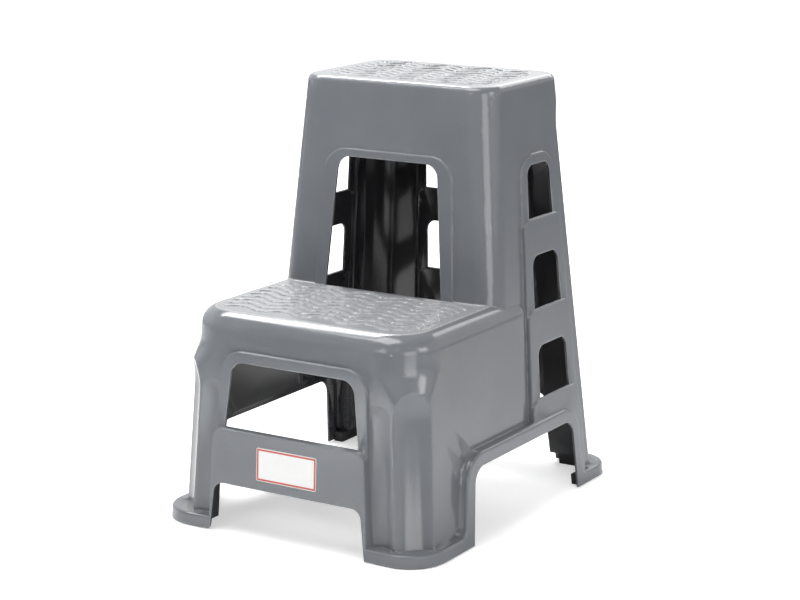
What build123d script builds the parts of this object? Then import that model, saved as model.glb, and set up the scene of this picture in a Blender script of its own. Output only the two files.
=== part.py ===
"""Step stool with two treads: one hollow moulding, four foot pads and a blank sticker.

Millimetres, +Z up, the lower step towards -Y, origin on the floor under the middle of the foot rim.
"""

import math
import os

from build123d import *

os.makedirs("parts", exist_ok=True)

# Overall sizes, measured over the foot rim
WIDTH = 352.0
DEPTH = 438.0
HEIGHT = 480.0
STEP_HEIGHT = 242.0

# The moulding: wall and tread thickness, and how far each raised level stands out of the one before
WALL = 2.5
TREAD = 3.0
LEVEL = 2.5
RIM_LEVELS = 5
RIM_HEIGHT = 15.0
RIM_CORNER = 10.0
RIM_EDGE = 3.0
PANEL_EDGE = 1.5

# Tower with the upper tread
TOP_WIDTH = 249.0
TOP_DEPTH = 172.0
TOWER_REAR_LEAN = 36.5
TOWER_FRONT_LEAN = 35.0
TOP_CORNER = 30.0
TOWER_FOOT_CORNER = 25.0
TOP_EDGE_RADIUS = 8.0

# Lower step
STEP_WIDTH = 298.0
STEP_FRONT_LEAN = 11.0
STEP_CORNER = 54.0
STEP_FOOT_CORNER = 32.0
STEP_CORNER_LOW = 172.0
STEP_CORNER_HIGH = 209.0
STEP_CORNER_BENDS = 6
STEP_REAR = 62.0
STEP_REAR_CORNER = 30.0
SHOULDER_RADIUS = 22.0

# Ladder of grip holes in both sides and in the rear
GRIP_COUNT = 3
GRIP_LOWEST = 123.0
GRIP_PITCH = 101.5
GRIP_HEIGHT = 60.0
GRIP_CORNER = 13.0
GRIP_SPLAY = 0.036
SIDE_GRIP_HALF = 25.5
REAR_GRIP_HALF = 64.0
LADDER_SPLAY = 0.06
LADDER_BORDER = 12.0
LADDER_CORNER = 30.0
BAR_CORNER = 12.0
LADDER_SETBACK = 76.5

# Front window of the tower and the raised band round it
WINDOW_TOP = 392.0
WINDOW_HALF = 64.5
WINDOW_SPLAY = 0.082
WINDOW_CORNER = 16.0
BAND_ABOVE = 9.0
BAND_BESIDE = 18.0
BAND_SPLAY = 0.058
BAND_CORNER = 28.0

# Front of the lower step: window, bar and arch
STEP_WINDOW_TOP = 191.5
STEP_WINDOW_HALF = 78.5
STEP_WINDOW_SPLAY = 0.108
STEP_BAND_ABOVE = 12.0
STEP_BAND_BESIDE = 15.0
STEP_BAND_SPLAY = 0.049
STEP_BAND_LEVELS = 2
FRONT_BAR_TOP = 118.0
FRONT_BAR_HEIGHT = 61.5
FRONT_ARCH_HALF = 94.5
FRONT_ARCH_SPLAY = 0.12
FRONT_ARCH_CORNER = 12.0

# Arches between the legs, at the sides and at the rear
LEG_ARCH_TOP = 85.0
LEG_ARCH_CORNER = 20.0
LEG_ARCH_SPLAY = 0.11
SIDE_ARCH_FRONT = -104.5
SIDE_ARCH_REAR = 119.0
REAR_ARCH_HALF = 90.0
ARCH_RIM = 15.0
FOOT_CORNER = 8.0

# Shallow grooves down the corners of the legs
FLUTE_RADIUS = 70.0
FLUTE_SPAN = math.radians(40)
STEP_FLUTE_TOP = 155.0
TOWER_FLUTE_TOP = 425.0
FLUTE_EDGE = 2.0
FACE_FLUTE_RADIUS = 45.0
FACE_FLUTE_DEPTH = 2.5
FACE_FLUTE_OFFSET = 11.0

# Anti-slip waves on the treads
WAVE_WIDTH = 7.0
WAVE_HEIGHT = 0.9
WAVE_PITCH = 15.5
WAVE_LENGTH = 54.0
WAVE_SWING = 5.5
WAVE_SHIFT = 0.06
TOP_WAVE_BORDER = 12.0
STEP_WAVE_BORDER = 3.0
WAVE_CORNER = 26.0
POINTS_PER_WAVE = 8

# Stiffening ribs under the treads
UNDER_RIB = 2.0
UNDER_RIB_DEPTH = 18.0
UNDER_RIB_PITCH = 45.0

# Foot pads and sticker
PAD_PROUD = 1.5
PAD_CLEARANCE = 0.3
PAD_SETBACK = 10.0
LABEL_WIDTH = 78.0
LABEL_HEIGHT = 37.0
LABEL_CORNER = 2.0
LABEL_THICK = 0.3
LABEL_CENTRE = 85.5

# Worked-out places
RIM_STEP = RIM_LEVELS * LEVEL
FOOT_HALF = WIDTH / 2 - RIM_STEP
FOOT_FRONT = -DEPTH / 2 + RIM_STEP
FOOT_REAR = DEPTH / 2 - RIM_STEP
TOP_REAR = FOOT_REAR - TOWER_REAR_LEAN
TOP_FRONT = TOP_REAR - TOP_DEPTH
STEP_FRONT = FOOT_FRONT + STEP_FRONT_LEAN
GRIP_FLOORS = [GRIP_LOWEST + GRIP_PITCH * row for row in reversed(range(GRIP_COUNT))]
GRIP_TOP = GRIP_FLOORS[0] + GRIP_HEIGHT
LADDER_TOP = GRIP_TOP + LADDER_BORDER
LADDER_MIDDLE = TOP_REAR - LADDER_SETBACK
STEP_BAND_TOP = STEP_WINDOW_TOP + STEP_BAND_ABOVE
REACH = max(WIDTH, DEPTH)
WALL_FACES = (GeomType.BSPLINE,)
FLUTE_FACES = (GeomType.CYLINDER, GeomType.SPHERE)


def tower_plan(z):
    """Half-width, front, rear, front corner and rear corner of the tower's walls at height z."""
    share = z / HEIGHT
    corner = TOWER_FOOT_CORNER + (TOP_CORNER - TOWER_FOOT_CORNER) * share
    return (
        FOOT_HALF + (TOP_WIDTH / 2 - FOOT_HALF) * share,
        TOP_FRONT - TOWER_FRONT_LEAN * (1 - share),
        FOOT_REAR - TOWER_REAR_LEAN * share,
        corner,
        corner,
    )


def step_plan(z):
    """Half-width, front, rear, front corner and rear corner of the lower step's walls at height z."""
    share = z / STEP_HEIGHT
    rise = (z - STEP_CORNER_LOW) / (STEP_CORNER_HIGH - STEP_CORNER_LOW)
    rise = min(max(rise, 0), 1)
    opened = rise * rise * (3 - 2 * rise)
    return (
        FOOT_HALF + (STEP_WIDTH / 2 - FOOT_HALF) * share,
        FOOT_FRONT + STEP_FRONT_LEAN * share,
        STEP_REAR,
        STEP_FOOT_CORNER + (STEP_CORNER - STEP_FOOT_CORNER) * opened,
        STEP_REAR_CORNER,
    )


def rim_plan(z):
    """Half-width, front, rear, front corner and rear corner of all walls together, near the floor, at height z."""
    half, front, _, front_corner, _ = step_plan(z)
    _, _, rear, _, rear_corner = tower_plan(z)
    return half, front, rear, front_corner, rear_corner


def leaning_box(plan, low, high, grow, bends=()):
    """Solid between two heights, straight between bends, whose plan follows the walls, grown outward."""
    with BuildPart() as box:
        for z in (low, *bends, high):
            half, front, rear, front_corner, rear_corner = plan(z)
            with BuildSketch(Plane.XY.offset(z)) as section:
                with Locations((0, (front + rear) / 2)):
                    Rectangle(2 * (half + grow), rear - front + 2 * grow)
                fillet(section.vertices().group_by(Axis.Y)[0], front_corner + grow)
                fillet(section.vertices().group_by(Axis.Y)[-1], rear_corner + grow)
        loft(ruled=True)
    return box.part


def arched(plane, middle, half, splay, top, bottom, corner, reach, both=False, foot=0):
    """Prism whose outline widens downward by splay, its top corners rounded, flared out at the floor by foot."""
    spread = half + splay * (top - bottom)
    with BuildPart() as prism:
        with BuildSketch(plane) as outline:
            with BuildLine():
                Polyline(
                    (middle - spread, bottom),
                    (middle + spread, bottom),
                    (middle + half, top),
                    (middle - half, top),
                    close=True,
                )
            make_face()
            fillet(outline.vertices().group_by(Axis.Y)[-1], corner)
            if foot:
                with Locations((middle, bottom)):
                    Rectangle(2 * REACH, -2 * bottom)
                floor = outline.vertices().filter_by_position(Axis.Y, 0, 0)
                fillet(floor.sort_by_distance((middle, 0))[:2], foot)
        extrude(amount=reach, both=both)
    return prism.part


def facing(y):
    """Upright plane at y that looks to the front, its first axis along +X and its second along +Z."""
    return Plane((0, y, 0), x_dir=(1, 0, 0), z_dir=(0, -1, 0))


def side_ladder(top, corner, inset):
    """Bounds of the raised panel round the grip holes, through both side walls."""
    half = SIDE_GRIP_HALF + LADDER_BORDER + LADDER_SPLAY * (LADDER_TOP - top) - inset
    return arched(
        Plane.YZ, LADDER_MIDDLE, half, LADDER_SPLAY, top - inset, 0, corner - inset, REACH, both=True
    )


def rear_ladder(top, corner, inset):
    """Bounds of the raised panel round the grip holes of the rear wall."""
    half = REAR_GRIP_HALF + LADDER_BORDER + LADDER_SPLAY * (LADDER_TOP - top) - inset
    return arched(facing(LADDER_MIDDLE), 0, half, LADDER_SPLAY, top - inset, 0, corner - inset, -REACH)


def window_band(inset):
    """Bounds of the raised band round the tower's front window."""
    half = WINDOW_HALF + BAND_BESIDE - inset
    top = WINDOW_TOP + BAND_ABOVE - inset
    low = STEP_HEIGHT - TREAD
    return arched(facing(LADDER_MIDDLE), 0, half, BAND_SPLAY, top, low, BAND_CORNER - inset, REACH)


def step_band_half(z):
    """Half-width at height z of the raised panel on the front of the lower step."""
    return STEP_WINDOW_HALF + STEP_BAND_BESIDE + STEP_BAND_SPLAY * (STEP_BAND_TOP - z)


def step_band(top, corner, inset):
    """Bounds of the raised panel on the front of the lower step, or of the bar across it."""
    half = step_band_half(top) - inset
    return arched(facing(0), 0, half, STEP_BAND_SPLAY, top - inset, 0, corner - inset, REACH)


def side_arch(grow):
    """Opening between a front and a rear leg, through both sides, grown all round."""
    middle = (SIDE_ARCH_FRONT + SIDE_ARCH_REAR) / 2
    half = (SIDE_ARCH_REAR - SIDE_ARCH_FRONT) / 2 + grow
    top = LEG_ARCH_TOP + grow
    corner = LEG_ARCH_CORNER + grow
    foot = 0 if grow else FOOT_CORNER
    return arched(Plane.YZ, middle, half, LEG_ARCH_SPLAY, top, -RIM_HEIGHT, corner, REACH, True, foot)


def front_arch(grow):
    """Opening under the front bar, between the front legs, grown all round."""
    half = FRONT_ARCH_HALF + grow
    top = FRONT_BAR_TOP - FRONT_BAR_HEIGHT + grow
    foot = 0 if grow else FOOT_CORNER
    corner = FRONT_ARCH_CORNER
    return arched(facing(0), 0, half, FRONT_ARCH_SPLAY, top, -RIM_HEIGHT, corner, REACH, foot=foot)


def rear_arch(grow):
    """Opening between the rear legs, grown all round."""
    half = REAR_ARCH_HALF + grow
    top = LEG_ARCH_TOP + grow
    foot = 0 if grow else FOOT_CORNER
    corner = LEG_ARCH_CORNER
    return arched(facing(0), 0, half, LEG_ARCH_SPLAY, top, -RIM_HEIGHT, corner, -REACH, foot=foot)


def rim_bounds(inset):
    """Bounds of the rim: a slab round the feet that runs up round the side arches."""
    arch = side_arch(ARCH_RIM - inset)
    top = RIM_HEIGHT - inset
    with BuildPart() as bounds:
        with Locations((0, 0, top / 2)):
            Box(2 * REACH, 2 * REACH, top)
        add(arch)
        inner = bounds.edges().filter_by(Axis.X).filter_by_position(Axis.Z, top, top)
        fillet(inner.filter_by_position(Axis.Y, -DEPTH / 2, DEPTH / 2), RIM_CORNER + inset)
    return bounds.part


def panels(inset):
    """Every raised panel: the walls that it belongs to, its level and its bounds."""
    yield tower_plan, 1, window_band(inset)
    yield step_plan, STEP_BAND_LEVELS, step_band(STEP_BAND_TOP, BAND_CORNER, inset)
    yield step_plan, RIM_LEVELS, step_band(FRONT_BAR_TOP, BAR_CORNER, inset)
    tops = [LADDER_TOP] + GRIP_FLOORS
    for level, top in enumerate(tops, start=1):
        corner = LADDER_CORNER if level == 1 else BAR_CORNER
        yield tower_plan, level, side_ladder(top, corner, inset)
        yield tower_plan, level, rear_ladder(top, corner, inset)


def outline(solid, low, kinds):
    """Edges where faces of the given kinds meet faces of other kinds, apart from those at the floor."""
    faces = [face for face in solid.faces() if face.geom_type in kinds]
    edges = [edge for face in faces for edge in face.edges()]
    return [edge for edge in edges if edges.count(edge) == 1 and edge.center().Z > low]


def raised(box, bounds, edge_radius):
    """Walls grown outward, kept only inside the bounds, with their outline rounded."""
    with BuildPart() as panel:
        add(box)
        add(bounds, mode=Mode.INTERSECT)
        if edge_radius:
            fillet(outline(panel, PAD_PROUD, WALL_FACES), edge_radius)
    return panel.part


def groove(low, high, radius):
    """Round-ended bar along a leaning line, which leaves a shallow groove where it meets a wall."""
    axis = Vector(*high) - Vector(*low)
    with BuildPart() as bar:
        with BuildSketch(Plane(origin=low, z_dir=axis)):
            Circle(radius)
        extrude(amount=axis.length)
        with Locations(high):
            Sphere(radius)
    return bar.part


def corner_line(plan, z, side, rear):
    """Point on a groove's axis off a rounded corner of the walls at height z."""
    half, front_y, rear_y, front_corner, rear_corner = plan(z)
    corner = rear_corner if rear else front_corner
    chord = corner * math.sin(FLUTE_SPAN)
    away = corner * math.cos(FLUTE_SPAN) + math.sqrt(FLUTE_RADIUS**2 - chord**2)
    out = away * math.sqrt(0.5) - corner
    y = rear_y + out if rear else front_y - out
    return (side * (half + out), y, z)


def face_line(z, side):
    """Point on a groove's axis off the front wall, beside its raised panel, at height z."""
    front_y = step_plan(z)[1]
    return (side * (step_band_half(z) + FACE_FLUTE_OFFSET), front_y - FACE_FLUTE_RADIUS + FACE_FLUTE_DEPTH, z)


def flutes(inset):
    """All grooves of the leg corners, as bars to cut away."""
    bars = []
    for side in (-1, 1):
        front = [corner_line(step_plan, z, side, False) for z in (0, STEP_FLUTE_TOP)]
        rear = [corner_line(tower_plan, z, side, True) for z in (0, TOWER_FLUTE_TOP)]
        face = [face_line(z, side) for z in (0, STEP_FLUTE_TOP)]
        bars.append(groove(*front, FLUTE_RADIUS + inset))
        bars.append(groove(*rear, FLUTE_RADIUS + inset))
        bars.append(groove(*face, FACE_FLUTE_RADIUS + inset))
    return bars


def hollow_form(inset, drop):
    """The outside of the moulding or, with an inset and a drop of its treads, the space inside it."""
    low = 0 if inset else PAD_PROUD
    with BuildPart() as step:
        rise = (STEP_CORNER_HIGH - STEP_CORNER_LOW) / STEP_CORNER_BENDS
        bends = [STEP_CORNER_LOW + rise * bend for bend in range(STEP_CORNER_BENDS + 1)]
        add(leaning_box(step_plan, low, STEP_HEIGHT - drop, -inset, bends))
        fillet(step.edges().group_by(Axis.Z)[-1], SHOULDER_RADIUS - inset)
    with BuildPart() as tower:
        add(leaning_box(tower_plan, low, HEIGHT - drop, -inset))
        fillet(tower.edges().group_by(Axis.Z)[-1], TOP_EDGE_RADIUS - inset)
    steps = []
    for plan, level, bounds in panels(inset):
        box = leaning_box(plan, low, HEIGHT if plan is tower_plan else STEP_HEIGHT, level * LEVEL - inset)
        steps.append(raised(box, bounds, 0 if inset else PANEL_EDGE))
    rim_box = leaning_box(rim_plan, low, STEP_CORNER_LOW, RIM_STEP - inset)
    steps.append(raised(rim_box, rim_bounds(inset), 0 if inset else RIM_EDGE))
    with BuildPart() as whole:
        add([step.part, tower.part])
        add(flutes(inset), mode=Mode.SUBTRACT)
        if not inset:
            fillet(outline(whole, low, FLUTE_FACES), FLUTE_EDGE)
        add(steps)
    return whole.part


def waves(z, half, front, rear):
    """Anti-slip waves that run across a tread, inside a round-cornered border."""
    count = int((rear - front - WAVE_WIDTH) / WAVE_PITCH) + 1
    start = (front + rear - (count - 1) * WAVE_PITCH) / 2
    steps = math.ceil(2 * half / WAVE_LENGTH * POINTS_PER_WAVE)
    with BuildPart() as ribs:
        with BuildSketch(Plane.XY.offset(z)):
            faces = []
            for row in range(count):
                middle = start + row * WAVE_PITCH
                line = []
                for step in range(steps + 1):
                    x = -half + 2 * half * step / steps
                    turn = 2 * math.pi * (x / WAVE_LENGTH + WAVE_SHIFT * row)
                    line.append((x, middle + WAVE_SWING * math.sin(turn)))
                with BuildLine():
                    near = Spline(*[(x, y - WAVE_WIDTH / 2) for x, y in line])
                    far = Spline(*[(x, y + WAVE_WIDTH / 2) for x, y in line])
                    Line(near @ 0, far @ 0)
                    Line(near @ 1, far @ 1)
                faces.append(make_face(mode=Mode.PRIVATE))
            add(faces)
            with Locations((0, (front + rear) / 2)):
                RectangleRounded(2 * half, rear - front, WAVE_CORNER, mode=Mode.INTERSECT)
        extrude(amount=WAVE_HEIGHT)
    return ribs.part


def under_ribs(top, half, front, rear):
    """Crossed ribs that hang from a tread."""
    middle = Plane((0, (front + rear) / 2, top - UNDER_RIB_DEPTH))
    with BuildPart() as ribs:
        with BuildSketch(middle):
            with GridLocations(UNDER_RIB_PITCH, 0, 2 * int(half / UNDER_RIB_PITCH) + 1, 1):
                Rectangle(UNDER_RIB, rear - front)
            with GridLocations(0, UNDER_RIB_PITCH, 1, 2 * int((rear - front) / 2 / UNDER_RIB_PITCH) + 1):
                Rectangle(2 * half, UNDER_RIB)
        extrude(amount=UNDER_RIB_DEPTH)
    return ribs.part


def grips(plane, middle, half, reach, both=False):
    """Grip holes of one wall, or of both side walls, as prisms to cut away."""
    holes = []
    for low in GRIP_FLOORS:
        top = low + GRIP_HEIGHT
        top_half = half + GRIP_SPLAY * (GRIP_TOP - top)
        holes.append(arched(plane, middle, top_half, GRIP_SPLAY, top, low, GRIP_CORNER, reach, both))
    return holes


def tower_window():
    """Window in the front of the tower, down to the lower tread, as a prism to cut away."""
    plane = facing(LADDER_MIDDLE)
    return arched(plane, 0, WINDOW_HALF, WINDOW_SPLAY, WINDOW_TOP, STEP_HEIGHT, WINDOW_CORNER, REACH)


def step_window():
    """Window in the front of the lower step, down to the front bar, as a prism to cut away."""
    low = FRONT_BAR_TOP
    half = STEP_WINDOW_HALF
    return arched(facing(0), 0, half, STEP_WINDOW_SPLAY, STEP_WINDOW_TOP, low, WINDOW_CORNER, REACH)


# The space inside the stool, round the ribs under both treads
tread_rear = tower_plan(STEP_HEIGHT)[1]
with BuildPart() as cavity:
    add(hollow_form(WALL, TREAD))
    add(
        [
            under_ribs(HEIGHT - TREAD, TOP_WIDTH / 2, TOP_FRONT, TOP_REAR),
            under_ribs(STEP_HEIGHT - TREAD, STEP_WIDTH / 2, STEP_FRONT, tread_rear + WALL),
        ],
        mode=Mode.SUBTRACT,
    )

# The moulded stool: its outside, less the space inside and the openings, with the waves on the treads
side_cuts = [*grips(Plane.YZ, LADDER_MIDDLE, SIDE_GRIP_HALF, REACH, both=True), side_arch(0)]
front_cuts = [tower_window(), step_window(), front_arch(0)]
rear_cuts = [*grips(facing(LADDER_MIDDLE), 0, REAR_GRIP_HALF, -REACH), rear_arch(0)]
top_edge = TOP_EDGE_RADIUS + TOP_WAVE_BORDER
step_edge = SHOULDER_RADIUS + STEP_WAVE_BORDER
step_end = tread_rear - STEP_WAVE_BORDER - LEVEL
with BuildPart() as moulded_body:
    add(hollow_form(0, 0))
    for cuts in (cavity.part, side_cuts, front_cuts, rear_cuts):
        add(cuts, mode=Mode.SUBTRACT)
    add(
        [
            waves(HEIGHT, TOP_WIDTH / 2 - top_edge, TOP_FRONT + top_edge, TOP_REAR - top_edge),
            waves(STEP_HEIGHT, STEP_WIDTH / 2 - step_edge, STEP_FRONT + step_edge, step_end),
        ]
    )

# Rubber pads in the channel under the foot rim
pad_top = RIM_HEIGHT - WALL
with BuildPart() as pad_ring:
    add(leaning_box(rim_plan, 0, pad_top, RIM_STEP - WALL - PAD_CLEARANCE))
    add(leaning_box(rim_plan, 0, pad_top, -WALL), mode=Mode.SUBTRACT)
    add([arch(PAD_SETBACK) for arch in (side_arch, front_arch, rear_arch)], mode=Mode.SUBTRACT)

# Blank sticker on the front bar
bar_face = Plane(
    origin=(0, step_plan(LABEL_CENTRE)[1] - RIM_STEP, LABEL_CENTRE),
    x_dir=(1, 0, 0),
    z_dir=(0, -STEP_HEIGHT, STEP_FRONT_LEAN),
)
with BuildPart() as blank_label:
    with BuildSketch(bar_face):
        RectangleRounded(LABEL_WIDTH, LABEL_HEIGHT, LABEL_CORNER)
    extrude(amount=LABEL_THICK)

moulded_body.part.label = "moulded_body"
export_step(moulded_body.part, "parts/moulded_body.step")
blank_label.part.label = "blank_label"
export_step(blank_label.part, "parts/blank_label.step")
for row, pads in zip(("front", "rear"), pad_ring.solids().group_by(Axis.Y)):
    for side, solid in zip(("left", "right"), pads.sort_by(Axis.X)):
        with BuildPart() as foot_pad:
            add(solid)
        foot_pad.part.label = f"foot_pad_{row}_{side}"
        export_step(foot_pad.part, f"parts/{foot_pad.part.label}.step")
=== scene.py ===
"""Looks of the two-tread step stool: a glossy grey moulding on rubber foot pads, on a white studio floor."""

import math

import bmesh
import bpy
from mathutils import Matrix, Vector


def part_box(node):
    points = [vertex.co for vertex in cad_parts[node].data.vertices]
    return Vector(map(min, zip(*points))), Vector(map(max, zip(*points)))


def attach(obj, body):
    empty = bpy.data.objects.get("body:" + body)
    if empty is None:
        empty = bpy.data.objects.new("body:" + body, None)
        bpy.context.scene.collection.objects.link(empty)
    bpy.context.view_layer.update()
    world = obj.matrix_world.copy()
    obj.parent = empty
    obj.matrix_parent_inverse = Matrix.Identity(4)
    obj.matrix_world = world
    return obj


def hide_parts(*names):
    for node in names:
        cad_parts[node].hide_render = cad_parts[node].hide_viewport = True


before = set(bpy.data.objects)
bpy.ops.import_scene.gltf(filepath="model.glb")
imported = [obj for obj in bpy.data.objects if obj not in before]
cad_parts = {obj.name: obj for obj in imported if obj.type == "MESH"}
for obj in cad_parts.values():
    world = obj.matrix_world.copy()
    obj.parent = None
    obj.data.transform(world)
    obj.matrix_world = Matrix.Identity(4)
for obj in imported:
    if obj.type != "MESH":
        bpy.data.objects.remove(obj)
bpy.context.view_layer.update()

# Camera at the photograph's viewing angle: degrees, metres, and millimetres for the lens and its sensor
VIEW_AZIMUTH = 31.85
VIEW_ELEVATION = 13.13
VIEW_DISTANCE = 2.5392
VIEW_TARGET = Vector((0.0068, 0.0054, 0.2294))
VIEW_LENS = 100.44
SENSOR_WIDTH = 36.0

# Lamps that face the stool: azimuth and elevation in degrees, distance, width and height in metres, watts
LAMPS = {
    "top": (-30, 72, 2.2, 1.6, 1.2, 42),
    "strip": (-110, 54, 2.2, 1.7, 0.5, 44),
    "front": (-5, 19, 2.4, 0.8, 0.65, 5),
    "right": (88, 19, 2.4, 0.8, 0.65, 9),
    "stand": (57, 6, 2.3, 1.0, 0.9, 10),
    "back": (-175, 31, 2.4, 1.7, 0.8, 11),
}

# Lamp that faces straight down to the floor in front: place and side in metres, watts, spread of its light
WASH_PLACE = (-0.15, -0.95, 0.8)
WASH_SIZE = 0.5
WASH_POWER = 6
WASH_SPREAD = math.radians(50)

# Surroundings: brightness of the backdrop, of the room in front and of the ceiling, and the share of it
# that falls on the stool as soft light
BACKDROP_STRENGTH = 1.0
ROOM_STRENGTH = 0.3
CEILING_STRENGTH = 0.4
SOFT_SHARE = 0.5

# Forward part of a direction over which the backdrop turns into the room, upward part for the ceiling
ROOM_EDGE = (-0.15, -0.55)
CEILING_EDGE = (0.50, 0.64)

# Studio floor: half its side in metres, its colour, and the plastic's mirror image of it further in front
FLOOR_HALF = 30.0
FLOOR_COLOUR = (0.86, 0.86, 0.865, 1.0)
FLOOR_BEYOND = (0.55, 0.55, 0.555, 1.0)
FLOOR_ROOM = (0.10, 0.10, 0.105, 1.0)
WHITE = (1.0, 1.0, 1.0, 1.0)

# Places along Y, in metres, over which the mirrored floor takes its two colours further in front
BEYOND_EDGE = (-0.44, -0.48)
FLOOR_ROOM_EDGE = (-0.95, -1.25)

# Glow that whitens the floor, near and far, and the metres from the middle of the stool over which it grows
NEAR_GLOW = 0.50
FAR_GLOW = 0.95
GLOW_EDGE = (0.6, 1.8)

# Ring round the stool where the plastic mirrors the glow: metres over which it begins and ends
RING_BEGIN = (0.22, 0.32)
RING_END = (0.8, 0.45)

# Shading: corners sharper than the angle stay sharp, and loose corners within the distance become one
SHARP_ANGLE = math.radians(28)
WELD_DISTANCE = 2e-6

# Rounding of edges, in metres, as it shades and as it wears, and the rays that test it and the inside
EDGE_RADIUS = 0.0020
WEAR_RADIUS = 0.0030
TEST_RAYS = 6

# Grey plastic: darkest and lightest base colour, worn edges and painted highlight, rubbed treads and
# painted top light, and painted shade inside the shell
PLASTIC_DARK = (0.142, 0.152, 0.166, 1.0)
PLASTIC_LIGHT = (0.163, 0.174, 0.188, 1.0)
# Pale colour of worn edges, which also serves as a painted highlight along the rims
PLASTIC_WORN_AND_HIGHLIT = (0.36, 0.37, 0.38, 1.0)
# Pale haze of rubbed treads, which also serves as painted top light on them
PLASTIC_HAZE_AND_TOP_LIGHT = (0.36, 0.365, 0.375, 1.0)
# Near-black painted shade for the enclosed inside of the shell
PLASTIC_INSIDE_SHADE = (0.022, 0.022, 0.025, 1.0)

# Patterns of the plastic: clouds in a metre and how finely they break up
MOTTLE = (11.0, 4.0)
GRAIN = (900.0, 1.0)
WEAR_AND_HIGHLIGHT_PATCHES = (70.0, 3.0)
HANDLING = (28.0, 4.0)
WALL_WAVINESS = (14.0, 1.0)
ORANGE_PEEL = (520.0, 2.0)

# Scratches from side to side and from front to rear: the same, and how the axes squeeze the clouds
SIDEWAYS_SCRATCHES = (60.0, 5.0, (1.0, 6.0, 1.0))
FORWARD_SCRATCHES = (45.0, 5.0, (7.0, 1.0, 1.0))

# Values of those patterns between which they fade in
SHADE_EDGE = (0.35, 0.65)
WEAR_AND_HIGHLIGHT_PATCH_EDGE = (0.28, 0.55)
SIDEWAYS_EDGE = (0.58, 0.72)
FORWARD_EDGE = (0.60, 0.74)

# Shares of mottling and grain in the shade, of worn paleness and painted highlight on edges and of scratches
# on the treads
MOTTLE_SHARE = 0.75
GRAIN_SHARE = 0.25
WEAR_AND_HIGHLIGHT_SHARE = 0.75
SCRATCH_SHARE = 0.15

# Roughness of the plastic where polished and where scuffed, and what scuffs, wear and handling add to it
POLISHED = 0.11
SCUFFED = 0.34
SCUFF_DULLS = 0.70
WEAR_DULLS = 0.35
HANDLING_DULLS = 0.30

# Bumps of the plastic: height in metres and strength
WALL_BUMP = (0.0012, 0.12)
PEEL_BUMP = (0.00008, 0.12)

# Agreement of the soft normal with the surface, and with the upward direction, from none of an effect to all
WORN_AND_HIGHLIT_EDGE = (0.98, 0.78)
UPWARD = (0.0, 0.0, 1.0)
UPWARD_EDGE = (0.3, 0.6)

# Treads: their heights in metres, how near to them a tread is, rise of the waves, and haze with painted top
# light low and on crests
TREAD_HEIGHTS = (0.242, 0.480)
TREAD_EDGE = (0.0013, 0.0010)
CREST_EDGE = (0.0003, 0.0007)
CREST_HAZE_AND_TOP_LIGHT = (0.55, 0.78)

# Painted shade on the inside of the shell: middle of the stool, how far a face must look towards it, reach
# in metres within which the walls count, and the free share of the surroundings from the open to the inside
MIDDLE = Vector((0.0, 0.05, 0.0))
INWARD_EDGE = (-0.03, -0.07)
INSIDE_REACH = 0.35
ENCLOSED_EDGE = (0.98, 0.90)

# Foot pads: clean and dusty rubber with their roughness, dust and grain patterns, and bump of the grain
RUBBER_CLEAN = (0.022, 0.022, 0.024, 1.0)
RUBBER_DUSTY = (0.060, 0.058, 0.056, 1.0)
RUBBER_ROUGHNESS = (0.62, 0.84)
DUST = (55.0, 4.0)
DUST_EDGE = (0.45, 0.75)
RUBBER_GRAIN = (1100.0, 2.0)
RUBBER_BUMP = (0.0002, 0.35)

# Sticker: film and border colours, and metres in from its edge over which the border begins and ends
FILM_DARK = (0.80, 0.80, 0.79, 1.0)
FILM_LIGHT = (0.86, 0.86, 0.85, 1.0)
BORDER_RED = (0.50, 0.055, 0.035, 1.0)
BORDER_BEGIN = (0.0009, 0.0011)
BORDER_END = (0.0029, 0.0031)

# Sticker's patterns: clouding, gloss and creases, its roughness, and bump of the creases
FILM_CLOUDS = (160.0, 3.0)
FILM_GLOSS = (90.0, 2.0)
FILM_CREASES = (240.0, 2.0)
FILM_ROUGHNESS = (0.28, 0.44)
CREASE_BUMP = (0.0001, 0.2)


def direction(azimuth, elevation):
    """Unit vector towards an azimuth from the front, to the right, and an elevation, in degrees."""
    turn = math.radians(azimuth)
    rise = math.radians(elevation)
    return Vector((math.sin(turn) * math.cos(rise), -math.cos(turn) * math.cos(rise), math.sin(rise)))


def new_object(name, data):
    """Object in the scene for some data."""
    piece = bpy.data.objects.new(name, data)
    bpy.context.scene.collection.objects.link(piece)
    return piece


def aim(piece, azimuth, elevation, distance):
    """Put a lamp or the camera at a distance in a direction from the stool and turn it to look there."""
    back = direction(azimuth, elevation)
    right = Vector((0, 0, 1)).cross(back).normalized()
    turn = Matrix((right, back.cross(right), back)).transposed().to_4x4()
    piece.matrix_world = Matrix.Translation(VIEW_TARGET + distance * back) @ turn


def add_camera():
    """Camera that sees the stool as the photograph does."""
    lens = bpy.data.cameras.new("camera")
    lens.lens = VIEW_LENS
    lens.sensor_width = SENSOR_WIDTH
    camera = new_object("camera", lens)
    aim(camera, VIEW_AZIMUTH, VIEW_ELEVATION, VIEW_DISTANCE)
    bpy.context.scene.camera = camera


def add_lamps():
    """Rectangular soft lamps that face the stool."""
    for name, (azimuth, elevation, distance, width, height, power) in LAMPS.items():
        lamp = bpy.data.lights.new(name, "AREA")
        lamp.shape = "RECTANGLE"
        lamp.size = width
        lamp.size_y = height
        lamp.energy = power
        softbox = new_object(name, lamp)
        softbox.visible_camera = False
        aim(softbox, azimuth, elevation, distance)


def add_wash():
    """Lamp that brightens the floor in front, which lights the legs from below."""
    lamp = bpy.data.lights.new("wash", "AREA")
    lamp.size = WASH_SIZE
    lamp.energy = WASH_POWER
    lamp.spread = WASH_SPREAD
    wash = new_object("wash", lamp)
    wash.visible_camera = False
    wash.visible_glossy = False
    wash.location = WASH_PLACE


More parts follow.
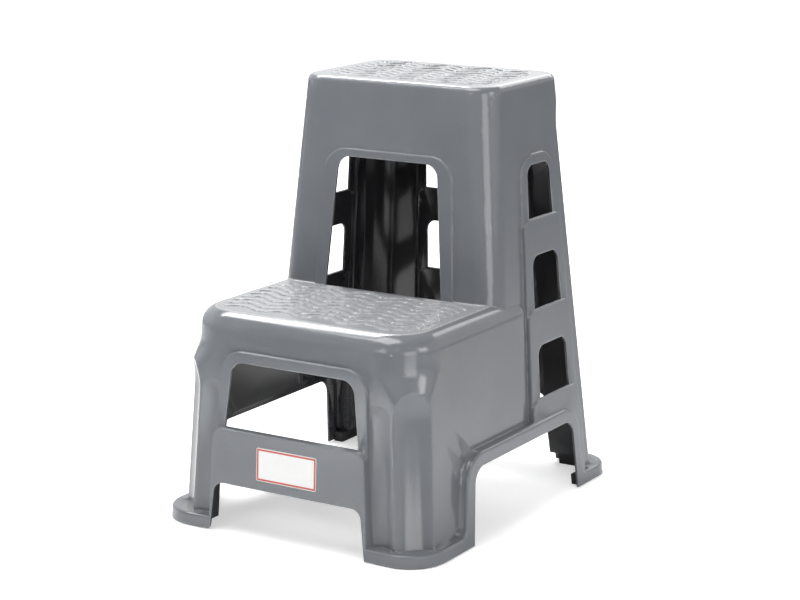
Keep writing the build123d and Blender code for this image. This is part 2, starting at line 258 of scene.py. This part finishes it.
class Nodes:
    """Short hand for the nodes of one material or of the world."""

    def __init__(self, owner, shader="Principled BSDF"):
        owner.use_nodes = True
        self.owner = owner
        self.tree = owner.node_tree
        self.shader = self.tree.nodes[shader].inputs

    def put(self, socket, value):
        """Link a socket to another one, or set its value."""
        if isinstance(value, bpy.types.NodeSocket):
            self.tree.links.new(value, socket)
        else:
            socket.default_value = value

    def finish(self, name, value):
        """Link or set an input of the shader itself."""
        self.put(self.shader[name], value)

    def add(self, kind, **inputs):
        """New node; an input given as a socket is linked, any other value is set."""
        node = self.tree.nodes.new("ShaderNode" + kind)
        for name, value in inputs.items():
            self.put(node.inputs[name.replace("_", " ")], value)
        return node

    def combine(self, operation, first, second=0.0, clamp=False):
        """Result of an arithmetic operation on two numbers."""
        node = self.add("Math")
        node.operation = operation
        node.use_clamp = clamp
        self.put(node.inputs[0], first)
        self.put(node.inputs[1], second)
        return node.outputs["Value"]

    def measure(self, operation, first, second=(0.0, 0.0, 0.0)):
        """Number that an operation makes of one or two vectors."""
        node = self.add("VectorMath")
        node.operation = operation
        self.put(node.inputs[0], first)
        self.put(node.inputs[1], second)
        return node.outputs["Value"]

    def between(self, value, ends, results=(0.0, 1.0)):
        """Number that goes from the first result to the last as a value goes from one end to the other."""
        node = self.add("MapRange", Value=value)
        node.inputs["From Min"].default_value = ends[0]
        node.inputs["From Max"].default_value = ends[1]
        node.inputs["To Min"].default_value = results[0]
        node.inputs["To Max"].default_value = results[1]
        return node.outputs["Result"]

    def blend(self, share, first, second):
        """Colour between two colours."""
        node = self.add("Mix")
        node.data_type = "RGBA"
        self.put(node.inputs["Factor"], share)
        self.put(node.inputs["A"], first)
        self.put(node.inputs["B"], second)
        return node.outputs["Result"]

    def place(self):
        """Place on the piece, in metres."""
        return self.add("TexCoord").outputs["Object"]

    def parts(self, vector):
        """The X, Y and Z of a vector."""
        return self.add("SeparateXYZ", Vector=vector).outputs

    def surface(self):
        """Normal of the surface."""
        return self.add("NewGeometry").outputs["Normal"]

    def noise(self, place, scale, detail, stretch=None):
        """Cloudy pattern, from 0 to 1, with so many clouds in a metre, squeezed along the axes."""
        if stretch is not None:
            squeeze = self.add("Mapping", Vector=place, Scale=stretch)
            place = squeeze.outputs["Vector"]
        return self.add("TexNoise", Vector=place, Scale=scale, Detail=detail).outputs["Fac"]

    def enclosed(self, reach):
        """Share of the surroundings that the piece itself leaves free, from 1 in the open to 0 inside."""
        node = self.add("AmbientOcclusion", Distance=reach)
        node.only_local = True
        node.samples = TEST_RAYS
        return node.outputs["AO"]

    def rounded(self, radius):
        """Normal of the surface as if its edges were rounded."""
        node = self.add("Bevel", Radius=radius)
        node.samples = TEST_RAYS
        return node.outputs["Normal"]

    def bump(self, height, size, normal):
        """Normal bent by a pattern of a height in metres and a strength."""
        distance, strength = size
        node = self.add("Bump", Height=height, Distance=distance, Strength=strength, Normal=normal)
        return node.outputs["Normal"]


def worn_and_highlit_edges(nodes, place, soft):
    """Share of wear and painted highlight: where the rounded normal leaves the surface, which is at edges,
    in patches.
    """
    turned = nodes.between(nodes.measure("DOT_PRODUCT", soft, nodes.surface()), WORN_AND_HIGHLIT_EDGE)
    patches = nodes.between(nodes.noise(place, *WEAR_AND_HIGHLIGHT_PATCHES), WEAR_AND_HIGHLIGHT_PATCH_EDGE)
    return nodes.combine("MULTIPLY", turned, patches, clamp=True)


def scuffed_and_lit_treads(nodes, place, soft):
    """Share of rubbing and painted top light: on faces that look up at a tread's height, most on wave crests
    and in scratches.
    """
    height = nodes.parts(place)["Z"]
    rises = [nodes.combine("ABSOLUTE", nodes.combine("SUBTRACT", height, level)) for level in TREAD_HEIGHTS]
    raised = nodes.combine("MINIMUM", *rises)
    upward = nodes.between(nodes.measure("DOT_PRODUCT", soft, UPWARD), UPWARD_EDGE)
    tread = nodes.combine("MULTIPLY", nodes.between(raised, TREAD_EDGE), upward)
    sideways = nodes.between(nodes.noise(place, *SIDEWAYS_SCRATCHES), SIDEWAYS_EDGE)
    forward = nodes.between(nodes.noise(place, *FORWARD_SCRATCHES), FORWARD_EDGE)
    scratches = nodes.combine("MULTIPLY", nodes.combine("MAXIMUM", sideways, forward), SCRATCH_SHARE)
    rubbed_and_lit = nodes.combine("ADD", nodes.between(raised, CREST_EDGE, CREST_HAZE_AND_TOP_LIGHT), scratches)
    return nodes.combine("MULTIPLY", tread, rubbed_and_lit)


def painted_inside_shade(nodes, place):
    """Share of painted shade on the inside: faces that look towards the stool's middle and that its walls
    enclose.
    """
    from_middle = nodes.add("Mapping", Vector=place, Location=-MIDDLE).outputs["Vector"]
    inward = nodes.between(nodes.measure("DOT_PRODUCT", from_middle, nodes.surface()), INWARD_EDGE)
    return nodes.combine("MULTIPLY", inward, nodes.between(nodes.enclosed(INSIDE_REACH), ENCLOSED_EDGE))


def body_plastic():
    """Glossy mid-grey plastic: mottling, orange peel, pale edges from wear and painted highlight, treads
    lighter from rubbing and painted top light, painted shade inside.
    """
    nodes = Nodes(bpy.data.materials.new("body_plastic"))
    place = nodes.place()
    soft = nodes.rounded(WEAR_RADIUS)
    worn_and_highlit = worn_and_highlit_edges(nodes, place, soft)
    scuffs_and_top_light = scuffed_and_lit_treads(nodes, place, soft)

    mottle = nodes.combine("MULTIPLY", nodes.noise(place, *MOTTLE), MOTTLE_SHARE)
    grain = nodes.combine("MULTIPLY", nodes.noise(place, *GRAIN), GRAIN_SHARE)
    shade = nodes.between(nodes.combine("ADD", mottle, grain), SHADE_EDGE)
    colour = nodes.blend(shade, PLASTIC_DARK, PLASTIC_LIGHT)
    # Pale edges: wear, and also a painted highlight along the rims
    colour = nodes.blend(nodes.combine("MULTIPLY", worn_and_highlit, WEAR_AND_HIGHLIGHT_SHARE), colour, PLASTIC_WORN_AND_HIGHLIT)
    # Treads lightened: rubbed haze, and also painted top light on upward faces and wave crests
    colour = nodes.blend(scuffs_and_top_light, colour, PLASTIC_HAZE_AND_TOP_LIGHT)
    # Painted shade: the enclosed inside of the shell is darkened towards near-black
    nodes.finish("Base Color", nodes.blend(painted_inside_shade(nodes, place), colour, PLASTIC_INSIDE_SHADE))

    scuff_dull = nodes.combine("MULTIPLY", scuffs_and_top_light, SCUFF_DULLS)
    wear_dull = nodes.combine("MULTIPLY", worn_and_highlit, WEAR_DULLS)
    hand_dull = nodes.combine("MULTIPLY", nodes.noise(place, *HANDLING), HANDLING_DULLS)
    dull = nodes.combine("ADD", nodes.combine("ADD", scuff_dull, wear_dull), hand_dull, clamp=True)
    nodes.finish("Roughness", nodes.between(dull, (0.0, 1.0), (POLISHED, SCUFFED)))

    normal = nodes.bump(nodes.noise(place, *WALL_WAVINESS), WALL_BUMP, nodes.rounded(EDGE_RADIUS))
    nodes.finish("Normal", nodes.bump(nodes.noise(place, *ORANGE_PEEL), PEEL_BUMP, normal))
    return nodes.owner


def pad_rubber():
    """Dark matte rubber with a fine grain and dusty patches."""
    nodes = Nodes(bpy.data.materials.new("pad_rubber"))
    place = nodes.place()
    dust = nodes.between(nodes.noise(place, *DUST), DUST_EDGE)
    nodes.finish("Base Color", nodes.blend(dust, RUBBER_CLEAN, RUBBER_DUSTY))
    nodes.finish("Roughness", nodes.between(dust, (0.0, 1.0), RUBBER_ROUGHNESS))
    grain = nodes.noise(place, *RUBBER_GRAIN)
    nodes.finish("Normal", nodes.bump(grain, RUBBER_BUMP, nodes.rounded(EDGE_RADIUS)))
    return nodes.owner


def label_film():
    """White sticker with a thin red border and nothing printed inside it."""
    nodes = Nodes(bpy.data.materials.new("label_film"))
    place = nodes.place()
    along = nodes.parts(place)
    low, high = (Vector(corner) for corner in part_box("blank_label"))
    middle = (low + high) / 2
    half = (high - low) / 2
    beside = nodes.combine("ABSOLUTE", nodes.combine("SUBTRACT", along["X"], middle.x))
    above = nodes.combine("ABSOLUTE", nodes.combine("SUBTRACT", along["Z"], middle.z))
    from_side = nodes.combine("SUBTRACT", half.x, beside)
    from_top = nodes.combine("SUBTRACT", half.z, above)
    from_edge = nodes.combine("MINIMUM", from_side, from_top)
    begun = nodes.between(from_edge, BORDER_BEGIN)
    ended = nodes.between(from_edge, BORDER_END)
    border = nodes.combine("SUBTRACT", begun, ended, clamp=True)
    film = nodes.blend(nodes.noise(place, *FILM_CLOUDS), FILM_DARK, FILM_LIGHT)
    nodes.finish("Base Color", nodes.blend(border, film, BORDER_RED))
    nodes.finish("Roughness", nodes.between(nodes.noise(place, *FILM_GLOSS), (0.0, 1.0), FILM_ROUGHNESS))
    creases = nodes.noise(place, *FILM_CREASES)
    nodes.finish("Normal", nodes.bump(creases, CREASE_BUMP, nodes.rounded(EDGE_RADIUS)))
    return nodes.owner


def floor_white():
    """Pale floor that renders white and keeps the shadow; mirrored in the plastic it ends at a grey room."""
    nodes = Nodes(bpy.data.materials.new("floor_white"))
    place = nodes.place()
    path = nodes.add("LightPath").outputs
    forward = nodes.parts(place)["Y"]
    mirrored = nodes.blend(nodes.between(forward, BEYOND_EDGE), FLOOR_COLOUR, FLOOR_BEYOND)
    mirrored = nodes.blend(nodes.between(forward, FLOOR_ROOM_EDGE), mirrored, FLOOR_ROOM)
    nodes.finish("Base Color", nodes.blend(path["Is Glossy Ray"], FLOOR_COLOUR, mirrored))
    nodes.finish("Roughness", 1.0)
    nodes.finish("Specular IOR Level", 0.0)

    away = nodes.measure("LENGTH", place)
    glow = nodes.between(away, GLOW_EDGE, (NEAR_GLOW, FAR_GLOW))
    seen_glow = nodes.combine("MULTIPLY", path["Is Camera Ray"], glow)
    ring = nodes.combine("MULTIPLY", nodes.between(away, RING_BEGIN), nodes.between(away, RING_END))
    ring_glow = nodes.combine("MULTIPLY", ring, NEAR_GLOW)
    mirrored_glow = nodes.combine("MULTIPLY", path["Is Glossy Ray"], ring_glow)
    nodes.finish("Emission Color", nodes.blend(path["Is Glossy Ray"], WHITE, mirrored))
    nodes.finish("Emission Strength", nodes.combine("ADD", seen_glow, mirrored_glow))
    return nodes.owner


def add_floor():
    """Wide flat floor under the stool."""
    mesh = bpy.data.meshes.new("studio_floor")
    corners = [(x * FLOOR_HALF, y * FLOOR_HALF, 0.0) for x, y in ((-1, -1), (1, -1), (1, 1), (-1, 1))]
    mesh.from_pydata(corners, [], [(0, 1, 2, 3)])
    mesh.materials.append(floor_white())
    new_object("studio_floor", mesh)


def light_world():
    """Surroundings: a white backdrop behind and beside the stool, a grey room in front, a dim ceiling."""
    nodes = Nodes(bpy.data.worlds.new("studio"), "Background")
    bpy.context.scene.world = nodes.owner
    way = nodes.parts(nodes.add("TexCoord").outputs["Generated"])
    walls = nodes.between(way["Y"], ROOM_EDGE, (BACKDROP_STRENGTH, ROOM_STRENGTH))
    ceiling = nodes.between(way["Z"], CEILING_EDGE, (BACKDROP_STRENGTH, CEILING_STRENGTH))
    path = nodes.add("LightPath").outputs
    share = nodes.between(path["Is Diffuse Ray"], (0.0, 1.0), (1.0, SOFT_SHARE))
    studio = nodes.combine("MULTIPLY", nodes.combine("MINIMUM", walls, ceiling), share)
    nodes.finish("Color", WHITE)
    nodes.finish("Strength", nodes.combine("MAXIMUM", studio, path["Is Camera Ray"]))


def welded(node, name):
    """Copy of a node with its triangles joined at their corners, smooth at soft edges, flat on walls."""
    mesh = bpy.data.meshes.new(name)
    shape = bmesh.new()
    shape.from_mesh(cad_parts[node].data)
    bmesh.ops.remove_doubles(shape, verts=shape.verts, dist=WELD_DISTANCE)
    shape.to_mesh(mesh)
    shape.free()
    mesh.shade_smooth()
    mesh.set_sharp_from_angle(angle=SHARP_ANGLE)
    piece = new_object(name, mesh)
    flat = piece.modifiers.new("flat_walls", "WEIGHTED_NORMAL")
    flat.keep_sharp = True
    return piece


def stand_for(node, name, material):
    """Show a welded copy in place of a node, with its finish."""
    piece = welded(node, name)
    piece.data.materials.clear()
    piece.data.materials.append(material)
    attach(piece, "root")
    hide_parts(node)


add_camera()
add_lamps()
add_wash()
add_floor()
light_world()

stand_for("moulded_body", "moulding", body_plastic())
stand_for("blank_label", "sticker", label_film())
rubber = pad_rubber()
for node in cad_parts:
    if node.startswith("foot_pad"):
        stand_for(node, node + "_rubber", rubber)

bpy.context.scene.view_settings.view_transform = "Standard"
